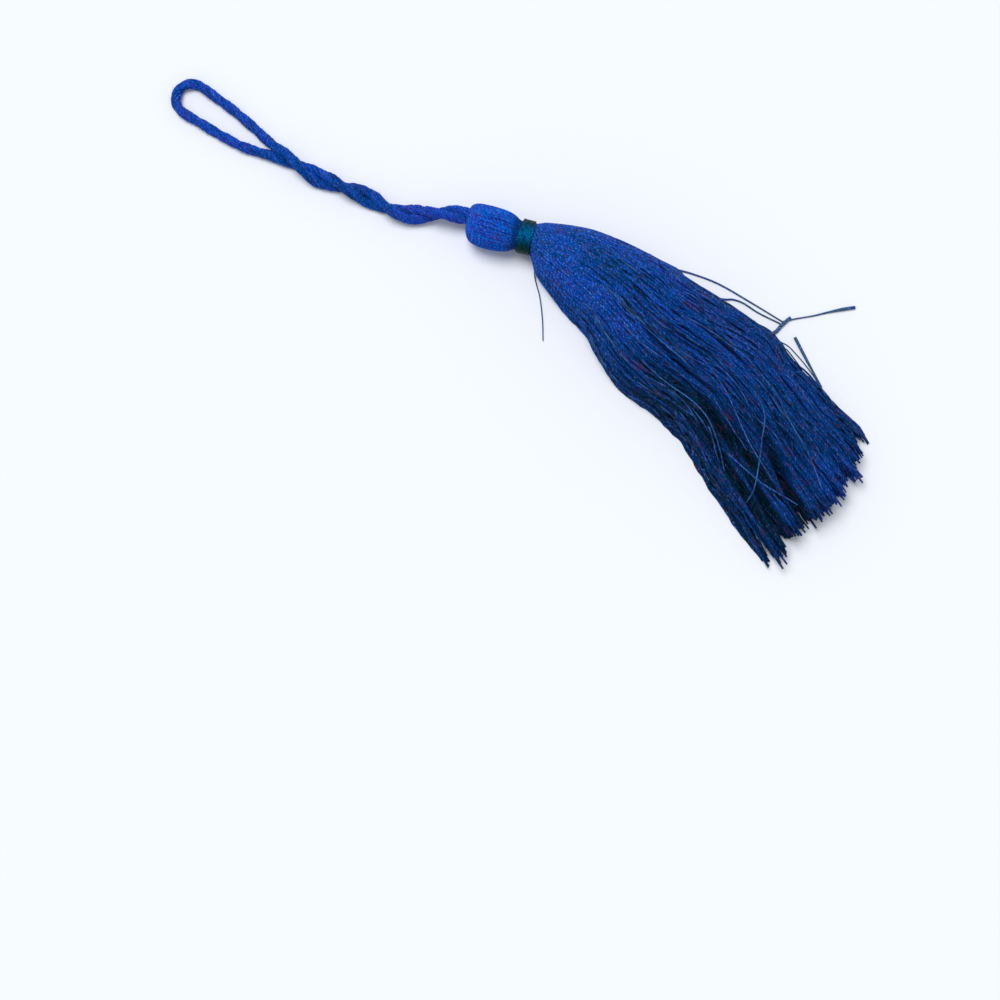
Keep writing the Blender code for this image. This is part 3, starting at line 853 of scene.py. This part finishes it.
def skirt_threads(settings, rng):
    """Every thread of the skirt from inside the binding to its own tip.

    A thread keeps its place in the bundle, drifts off it a little the further it goes, sways with its
    neighbours and by itself, sinks at the partings, and near the cut end leans to its tuft. Its painted
    shade is a sum of ramps along and across the skirt, of the partings, the unevenness and the patches, and
    of a difference of its own.
    """
    across, level, shell = skirt_seeds(settings, rng)
    threads = len(across)
    each = (threads, 1)
    lean, spare = gathered(across, level)
    spare = spare + rng.uniform(*SPARE_LENGTHS, threads) - SHORT_END * rng.random(threads) ** 4
    spare = spare + np.where(np.abs(across) < STRAY_LIMIT, STRAY_END, 0.0) * rng.random(threads) ** 12
    t = np.linspace(0.0, 1.0, SKIRT_PLACES)
    places = (SKIRT_RUN + spare)[:, None] * (NECK_CROWDING * t**2 + (1.0 - NECK_CROWDING) * t)
    gone = places / SKIRT_RUN
    half_width = half_width_at(places)
    free = ramp(places, 0.0, 8.0)

    # Sways
    own = rng.uniform(0.0, FULL_TURN, (5, threads, 1))
    waves = rng.uniform(*LONG_WAVES, (2, threads, 1))
    short = rng.uniform(*SHORT_WAVES, (2, threads, 1))
    settled = rng.uniform(*OWN_SWAYS, each) * ramp(places, 0.0, 28.0)
    sway = SHARED_SWAY * gone * wave(places, SHARED_WAVE, FULL_TURN * SHARED_SLANT * across[:, None])
    sway = sway + settled * wave(places, waves[0], own[0])
    sway = sway + 0.5 * settled * wave(places, 0.4 * waves[1], own[1])
    sway = sway + CURL * np.clip(places / 14.0, 0.4, 1.0) * wave(places, short[0], own[3])
    sway = sway + CRIMP * np.clip(places / 12.0, 0.3, 1.0) * wave(places, short[1] / 2.0, own[4])
    drift = rng.normal(0.0, 0.030, each) * gone**1.5
    moved = banked(places, across[:, None] + free * sway / half_width + drift)

    # Tufts, and heights
    near = ramp(places, SKIRT_RUN - TUFT_REACH, SKIRT_RUN)
    moved = moved + TUFT_PULL * near**2 * (lean[:, None] - moved) + rng.normal(0.0, 0.014, each) * near**3
    lift = 0.012 * wave(places, waves[1], own[2]) + 0.014 * wave(places, short[1], own[4])
    moved, height, sunk = parted(places, moved, level[:, None] + free * lift)
    uneven = lock_waves(places, moved, rng) * ramp(places, 0.0, 20.0)
    height = np.minimum(height * (1.0 - 0.05 * np.maximum(uneven, 0.0)), dome(moved) + 0.02)
    thickness = settings.thread_radius / MM * np.clip(0.60 + 0.40 * half_width / 7.5, 0.0, 1.0)
    thickness = thickness * rng.uniform(0.80, 1.15, each) * np.clip(0.75 + 8.0 * (1.0 - t), 0.0, 1.0)
    points = skirt_points(places, moved, height, thickness + 0.01)

    # Painted shade, and tones
    down = ramp(places, 5.0, 32.0)
    low = ramp(gone, 0.34, 0.50) * ramp(moved, 0.28, -0.22)
    bank = ramp(np.abs(moved), 0.55, 0.85) * ramp(places, 0.0, 16.0) * (1.0 - 0.7 * low)
    shades = SHADE_FREE * free + SHADE_DOWN * down**2 * (3.0 - 2.0 * down) + SHADE_LOW * low
    shades = shades + SHADE_BANK * bank + SHADE_PARTING * sunk + SHADE_UNEVEN * uneven
    shades = shades + painted_patch_shade(places, moved)
    apart = rng.uniform(-0.09, 0.09, each) - 0.28 * rng.random(each) ** 12
    apart = apart * (0.55 + 0.75 * wave(places, waves[0] / 2.0, own[4]))
    shades = np.clip(shades + apart * free * (1.2 - shades), 0.0, 1.0)
    tones = 0.5 + 0.22 * np.sin(11.0 * across + 1.0) + rng.uniform(-0.4, 0.4, threads)
    return placed(points), thickness * MM, np.clip(tones, 0.0, 1.0), shades, shell, across


class TASSEL_OT_build_skirt(bpy.types.Operator):
    """Lays the skirt's threads from the neck to the cut end"""

    bl_idname = "tassel.build_skirt"
    bl_label = "Build skirt"

    def execute(self, context):
        thread, skirt = context.scene.tassel_thread, context.scene.tassel_skirt
        rng = np.random.default_rng(thread.seed + 1)
        paths, radii, tones, shades, shell, across = skirt_threads(skirt, rng)
        material = blue_thread(thread, "Skirt thread", 0.85)
        outer = shell < OUTER_SHELLS
        groups = (
            ("skirt_outer_left", outer & (across >= 0.0), 6),
            ("skirt_outer_right", outer & (across < 0.0), 6),
            ("skirt_inner_left", ~outer & (across >= 0.0), 4),
            ("skirt_inner_right", ~outer & (across < 0.0), 4),
        )
        for name, own, sides in groups:
            mesh = closed_tubes(name, paths[own], radii[own], UP, sides, tones[own], shades[own])
            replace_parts(piece_from(mesh, material), "head_and_skirt")
        return {"FINISHED"}


# ---- Loose threads ----


def crossing_threads(radius, strays, edges, rng):
    """Threads lying over the skirt: those of the tables, slanting strays, and edge threads.

    A stray's place grows evenly while it drifts across by a soft step and a bow. An edge thread bows out of
    the skirt's side by half a sine wave. All lie on the dome and their two ends dip under it.
    """
    t = np.linspace(0.0, 1.0, CROSSING_PLACES)
    lines = [along_table(np.linspace(0.0, 1.0, len(rows)), np.array(rows), t) for rows in CROSSING_PATHS]
    start, span = rng.uniform(12.0, 45.0, (strays, 1)), rng.uniform(6.0, 13.0, (strays, 1))
    step, bow = rng.normal(0.0, 0.075, (strays, 1)), rng.normal(0.0, 0.030, (strays, 1))
    slant = rng.uniform(-0.88, 0.72, (strays, 1)) + step * (3.0 * t**2 - 2.0 * t**3)
    slant = slant + bow * np.sin(np.pi * t)
    slanting = np.stack([start + span * t, np.clip(slant, -0.96, 0.96)], axis=-1)
    begin, length = rng.uniform(14.0, 47.0, (edges, 1)), rng.uniform(4.0, 10.0, (edges, 1))
    side = np.where(np.arange(edges) % 2, 1.0, -1.0)[:, None]
    bank = side * (0.95 + rng.uniform(0.03, 0.09, (edges, 1)) * np.sin(np.pi * t))
    bowed = np.stack([begin + length * t, bank], axis=-1)
    place, across = np.moveaxis(np.concatenate([np.array(lines), slanting, bowed]), -1, 0)
    across = banked(place, across)
    dip = 0.16 * ramp(np.minimum(t, 1.0 - t), 0.15, 0.0)
    return placed(skirt_points(place, across, dome(across) + 0.02 - dip, radius / MM))


class TASSEL_OT_build_loose_threads(bpy.types.Operator):
    """Adds the threads that cross the skirt and those that have come out of it"""

    bl_idname = "tassel.build_loose_threads"
    bl_label = "Build loose threads"

    def execute(self, context):
        thread, skirt = context.scene.tassel_thread, context.scene.tassel_skirt
        rng = np.random.default_rng(thread.seed + 2)
        paths = crossing_threads(skirt.thread_radius, skirt.strays, skirt.edge_threads, rng)
        threads = len(paths)
        tones = rng.uniform(0.0, 1.0, threads)
        # Painted shade of the crossing threads: the listed ones lighter, the strays darker, swinging along
        # each thread
        shades = np.where(np.arange(threads) < len(CROSSING_PATHS), 0.45, rng.uniform(0.50, 0.95, threads))
        swings = swung(np.linspace(0.0, 1.0, CROSSING_PLACES), 8.0, 20.0, threads, rng)
        shades = np.clip(shades[:, None] + 0.25 * swings, 0.0, 1.0)
        radius = 0.56 * skirt.thread_radius
        mesh = closed_tubes("crossing_threads", paths, radius, UP, 6, tones, shades)
        piece_from(mesh, blue_thread(thread, "Pale thread", 1.0, 0.8, skirt.pale))
        lines = []
        for rows in LOOSE_PATHS:
            places = np.linspace(0.0, len(rows) - 1.0, LOOSE_PLACES)
            lines.append(along_table(np.arange(len(rows)), np.array(rows), places))
        lines = np.array(lines)
        paths, radii = lines[..., :3], lines[..., 3]
        paths[..., 2] = np.maximum(paths[..., 2], radii + 0.01)
        tones = rng.uniform(0.0, 0.5, len(paths))
        # A slight, even painted shade
        mesh = closed_tubes("loose_threads", placed(paths), radii * MM, UP, 7, tones, 0.1)
        piece_from(mesh, blue_thread(thread, "Loose thread", 0.3, 0.5, skirt.loose))
        return {"FINISHED"}


# ---- Binding ----


def binding_coil(turns, radius, away, start, end, rng):
    """Thread wound round the neck, and its painted shade.

    Its angle grows evenly and its place along the neck as evenly but for a small drift, and its two ends
    sink into the neck. Painted shade makes it darkest at the neck's flanks, by a power of the angle's
    cosine.
    """
    t = np.linspace(0.0, 1.0, 40 * turns)
    angle = FULL_TURN * turns * t + 0.7
    uneven = np.interp(t, np.linspace(0.0, 1.0, 2 * turns), rng.uniform(-0.05, 0.05, 2 * turns))
    along = start + radius + (end - start - 2.0 * radius) * t + uneven
    reach = away - 0.35 * ramp(np.minimum(t, 1.0 - t) * 2.0 * turns, 1.0, 0.0)
    # Painted shade, darkest at the neck's flanks where the coil turns away
    shade = np.minimum(1.25 * np.abs(np.cos(angle)) ** 0.8, 1.0)
    return head_points(along, reach * np.cos(angle), AXIS_HEIGHT + reach * np.sin(angle)), shade


class TASSEL_OT_build_binding(bpy.types.Operator):
    """Winds the glossy thread round the neck"""

    bl_idname = "tassel.build_binding"
    bl_label = "Build binding"

    def execute(self, context):
        thread, binding = context.scene.tassel_thread, context.scene.tassel_binding
        rng = np.random.default_rng(thread.seed + 3)
        radius = binding.thread_radius / MM
        under, over = (binding_coil(binding.turns, radius, *layer, rng) for layer in BINDING_LAYERS)
        paths, shades = (np.array([lower, upper[::-1]]) for lower, upper in zip(under, over))
        neck_way = head_points(1.0, 0.0, 0.0) - head_points(0.0, 0.0, 0.0)
        # The other ply's dark green is also the painted shade, and the gleam is a painted highlight on the
        # crests
        dyes = (binding.green, *[binding.dark_green_ply_and_shade] * 4, BINDING_GLEAM, BINDING_GLEAM)
        look = look_of(dyes, *BINDING_LOOK)
        mesh = closed_tubes("neck_coil", paths, binding.thread_radius, neck_way, 8, (0.4, 0.6), shades)
        material = thread_material("Binding thread", look, GREEN_LUSTRE, GREEN_LUSTRE_TINT)
        piece = piece_from(mesh, material)
        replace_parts(piece, "neck_binding")
        return {"FINISHED"}


# ---- Hanging loop ----


def even_route(rows, steps):
    """Points at even distances along the smooth curve through a table's rows, and those distances."""
    points = np.array(rows)
    padded = np.vstack([2.0 * points[0] - points[1], points, 2.0 * points[-1] - points[-2]])
    before, start, end, after = (padded[k : len(padded) - 3 + k, None] for k in range(4))
    t = np.linspace(0.0, 1.0, 24, endpoint=False)[None, :, None]
    curve = 2.0 * start + (end - before) * t + (2.0 * before - 5.0 * start + 4.0 * end - after) * t**2
    curve = 0.5 * (curve + (3.0 * start - before - 3.0 * end + after) * t**3)
    fine = np.vstack([curve.reshape(-1, points.shape[1]), points[-1]])
    run = run_of(fine[:, :2])
    places = np.linspace(0.0, run[-1], steps)
    return np.column_stack([np.interp(places, run, column) for column in fine.T]), places


def left_of(route):
    """The level unit vectors that point to the left of each part of a route."""
    way = unit(np.gradient(route[:, :2], axis=0))
    return np.column_stack([-way[:, 1], way[:, 0]])


def loop_route(radius):
    """The cord from the head out along one leg, round the eye's tip and back along the other leg.

    In the twisted pair each leg is off the middle line by half the legs' spacing, to the side by the cosine
    of the twist and upwards by its sine. In the eye it stands off by the spread, and the tip is half a
    circle.
    """
    half = LEG_SPACING / 2.0
    pair, places = even_route(PAIR_ROWS, PAIR_STEPS)
    sides = left_of(pair)
    turn = np.pi * HALF_TWISTS * (places - TWIST_START) / (places[-1] - TWIST_START)
    seat = radius + half * np.sqrt(np.sin(turn) ** 2 + 0.02)
    legs = []
    for sign in (1.0, -1.0):
        level = pair[:, :2] + sign * half * np.cos(turn)[:, None] * sides
        height = pair[:, 2] + seat + sign * half * np.sin(turn)
        legs.append(np.column_stack([level, np.maximum(height, radius)]))
    eye, _ = even_route(EYE_ROWS, EYE_STEPS)
    eye_sides = left_of(eye)
    eye_off = eye[1:, 2:] * eye_sides[1:]
    on_floor = np.full(EYE_STEPS - 1, radius)
    banks = [np.column_stack([eye[1:, :2] + sign * eye_off, on_floor]) for sign in (1.0, -1.0)]
    out = np.array([eye_sides[-1][1], -eye_sides[-1][0]])
    angle = np.pi * np.linspace(0.0, 1.0, TIP_STEPS + 2)[1:-1, None]
    tip = eye[-1, :2] + eye[-1, 2] * (np.cos(angle) * eye_sides[-1] + np.sin(angle) * out)
    tip = np.column_stack([tip, np.full(TIP_STEPS, radius)])
    return np.vstack([legs[0], banks[0], tip, banks[1][::-1], legs[1][::-1]])


def cord_yarns(route, cord_radius, yarns, turn_length, rng):
    """The yarns of a soft two-ply cord, and the core that they lie on.

    The yarns keep their places round the cord's line while all of them turn round it. A yarn's distance
    from the line is least in the two grooves between the plies and grows with the size of the cosine of its
    place from them, so the section is a rounded figure of eight. Each point is the line's, plus that
    distance times the cosine of its angle to the side and the sine upwards.
    """
    knots = run_of(route)
    places = np.linspace(0.0, knots[-1], CORD_PLACES)
    line = along_table(knots, route, places)
    way = unit(np.gradient(line, axis=0))
    side = unit(np.cross(UP, way))
    up = np.cross(way, side)
    own = FULL_TURN * (np.arange(yarns) + rng.uniform(-0.2, 0.2, yarns)) / yarns
    turn = own[:, None] + FULL_TURN * places / turn_length
    turn = turn + 0.18 * swung(places, 0.4, 1.1, yarns, rng)
    away = cord_radius * (0.69 + 0.21 * np.abs(np.cos(own)) ** 0.8)[:, None]
    away = away + 0.04 * swung(places, 0.7, 2.0, yarns, rng)
    paths = line + away[..., None] * (np.cos(turn)[..., None] * side + np.sin(turn)[..., None] * up)
    radii = 0.22 * cord_radius * (1.0 + 0.12 * np.sin(places * 1.7 + rng.uniform(0.0, 6.3, (yarns, 1))))
    paths = np.concatenate([line[None], paths])
    radii = np.concatenate([np.full((1, len(places)), 0.74 * cord_radius), radii])
    paths[..., 2] = np.maximum(paths[..., 2], radii + 0.005)
    tones = np.concatenate([[0.2], rng.uniform(0.15, 1.0, yarns)])
    return paths, radii, tones


def cord_fuzz(paths, hairs, rng):
    """Short fine hairs that start on the cord's yarns, go outwards and bend away from a straight line."""
    yarn = rng.integers(1, len(paths), hairs)
    place = rng.integers(4, paths.shape[1] - 4, hairs)
    start = paths[yarn, place]
    way = unit(paths[yarn, place + 3] - paths[yarn, place - 3])
    out = unit(start - paths[0, place])
    lead = unit(out + rng.uniform(-0.9, 0.9, (hairs, 1)) * way + 0.4 * rng.normal(0.0, 1.0, (hairs, 3)))
    bend = rng.normal(0.0, 0.35, (hairs, 3))
    t = np.linspace(0.0, 1.0, 5)[None, :, None]
    length = rng.uniform(0.12, 0.38, (hairs, 1, 1))
    lines = start[:, None] + length * (t * lead[:, None] + t**2 * bend[:, None])
    lines[..., 2] = np.maximum(lines[..., 2], 0.03)
    return lines


class TASSEL_OT_build_loop(bpy.types.Operator):
    """Twists the two legs of the hanging loop's cord"""

    bl_idname = "tassel.build_loop"
    bl_label = "Build hanging loop"

    def execute(self, context):
        thread, loop = context.scene.tassel_thread, context.scene.tassel_loop
        rng = np.random.default_rng(thread.seed + 4)
        radius = loop.cord_diameter / 2.0 / MM
        route = loop_route(radius + FLOOR_CLEARANCE)
        into = CORD_INTO_HEAD * np.array((math.cos(HEAD_HEADING), math.sin(HEAD_HEADING), 0.0))
        line = np.vstack([route[0] + into, route, route[-1] + into])
        head_off = run_of(line)
        head_off = np.minimum(head_off, head_off[-1] - head_off)[:, None]
        line = line + 0.11 * ramp(head_off, 4.5, 2.0) * (line[::-1] - line)
        paths, radii, tones = cord_yarns(line, radius, loop.yarns, loop.turn / MM, rng)
        # Painted shade in dark bands that wind along the cord's yarns
        phases = np.linspace(0.0, 60.0, paths.shape[1]) + 0.8 * np.arange(len(paths))[:, None]
        shades = 0.22 + 0.22 * np.sin(phases)
        mesh = closed_tubes("hanging_cord", placed(paths), radii * MM, UP, 6, tones, shades)
        piece = piece_from(mesh, blue_thread(thread, "Cord yarn", 0.60, 0.80, ply_groove_shade=0.40))
        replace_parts(piece, "hanging_loop")
        hairs = cord_fuzz(paths, loop.hairs, rng)
        tones = rng.uniform(0.2, 1.0, loop.hairs)
        mesh = closed_tubes("cord_fuzz", placed(hairs), HAIR_RADIUS, (0.0, 0.3, 1.0), 3, tones, 0.0)
        # Painted light: the hairs take the light fleck colour as their first ply
        fuzz = piece_from(mesh, blue_thread(thread, "Fuzz", 1.0, 0.0, thread.fleck_highlight))
        path = placed(route)
        return {"FINISHED"}


# ---- Stage ----


def make_floor(colour_value):
    """A wide level square at the floor's height."""
    mesh = bpy.data.meshes.new("floor")
    corners = [(-9.0, -9.0, 0.0), (9.0, -9.0, 0.0), (9.0, 9.0, 0.0), (-9.0, 9.0, 0.0)]
    mesh.from_pydata(corners, [], [(0, 1, 2, 3)])
    floor = linked("floor", mesh)
    material = bpy.data.materials.new("Pale floor")
    material.use_nodes = True
    shader = material.node_tree.nodes["Principled BSDF"]
    shader.inputs["Base Color"].default_value = with_alpha(colour_value)
    shader.inputs["Roughness"].default_value = 0.9
    shader.inputs["Specular IOR Level"].default_value = 0.1
    mesh.materials.append(material)


class TASSEL_OT_build_stage(bpy.types.Operator):
    """Sets the floor, the soft light and the camera"""

    bl_idname = "tassel.build_stage"
    bl_label = "Build stage"

    def execute(self, context):
        stage = context.scene.tassel_stage
        make_floor(stage.floor)
        world = bpy.data.worlds.new("Studio")
        world.use_nodes = True
        sky = world.node_tree.nodes["Background"]
        sky.inputs["Color"].default_value = (0.93, 0.97, 1.0, 1.0)
        seen = add_node(world.node_tree, "ShaderNodeLightPath").outputs["Is Camera Ray"]
        brightness = between(world.node_tree, seen, 0.0, 1.0, stage.sky, 1.0)
        world.node_tree.links.new(brightness, sky.inputs["Strength"])
        context.scene.world = world
        light = bpy.data.lights.new("Window", "SUN")
        light.energy = stage.key
        light.angle = stage.softness
        lamp = linked("Window", light)
        lamp.location = CAMERA_TARGET + 0.50 * PICTURE_UP - 0.40 * PICTURE_RIGHT + 1.50 * Vector(UP)
        lamp.rotation_euler = (CAMERA_TARGET - lamp.location).to_track_quat("-Z", "Y").to_euler()
        lens = bpy.data.cameras.new("Camera")
        lens.lens = stage.lens
        lens.sensor_width = 36.0
        lens.clip_start, lens.clip_end = 0.01, 10.0
        camera = linked("Camera", lens)
        rise = stage.elevation
        back = Vector(UP) * math.sin(rise) - PICTURE_UP * math.cos(rise)
        up = PICTURE_UP * math.sin(rise) + Vector(UP) * math.cos(rise)
        turn = Matrix((PICTURE_RIGHT, up, back)).transposed().to_4x4()
        camera.matrix_world = Matrix.Translation(CAMERA_TARGET + back * stage.distance) @ turn
        context.scene.camera = camera
        context.scene.view_settings.view_transform = "Standard"
        return {"FINISHED"}


class TASSEL_PT_build(bpy.types.Panel):
    """Lists the tassel's pieces, with their sizes and colours"""

    bl_idname = "TASSEL_PT_build"
    bl_label = "Thread tassel"
    bl_space_type = "VIEW_3D"
    bl_region_type = "UI"
    bl_category = "Tassel"

    def draw(self, context):
        for step in STEPS:
            self.layout.operator(step.bl_idname)
        for name, kind in SETTINGS.items():
            box = self.layout.box()
            group = getattr(context.scene, name)
            for value in kind.__annotations__:
                box.prop(group, value)


SETTINGS = {
    "tassel_thread": TasselThreadSettings,
    "tassel_head": TasselHeadSettings,
    "tassel_skirt": TasselSkirtSettings,
    "tassel_binding": TasselBindingSettings,
    "tassel_loop": TasselLoopSettings,
    "tassel_stage": TasselStageSettings,
}
STEPS = (
    TASSEL_OT_build_head,
    TASSEL_OT_build_skirt,
    TASSEL_OT_build_loose_threads,
    TASSEL_OT_build_binding,
    TASSEL_OT_build_loop,
    TASSEL_OT_build_stage,
)


def register():
    for kind in (*SETTINGS.values(), *STEPS, TASSEL_PT_build):
        bpy.utils.register_class(kind)
    for name, kind in SETTINGS.items():
        setattr(bpy.types.Scene, name, bpy.props.PointerProperty(type=kind))


def unregister():
    for name in SETTINGS:
        delattr(bpy.types.Scene, name)
    for kind in reversed((*SETTINGS.values(), *STEPS, TASSEL_PT_build)):
        bpy.utils.unregister_class(kind)


def main():
    register()
    bpy.ops.tassel.build_head()
    bpy.ops.tassel.build_skirt()
    bpy.ops.tassel.build_loose_threads()
    bpy.ops.tassel.build_binding()
    bpy.ops.tassel.build_loop()
    bpy.ops.tassel.build_stage()


if __name__ == "__main__":
    main()
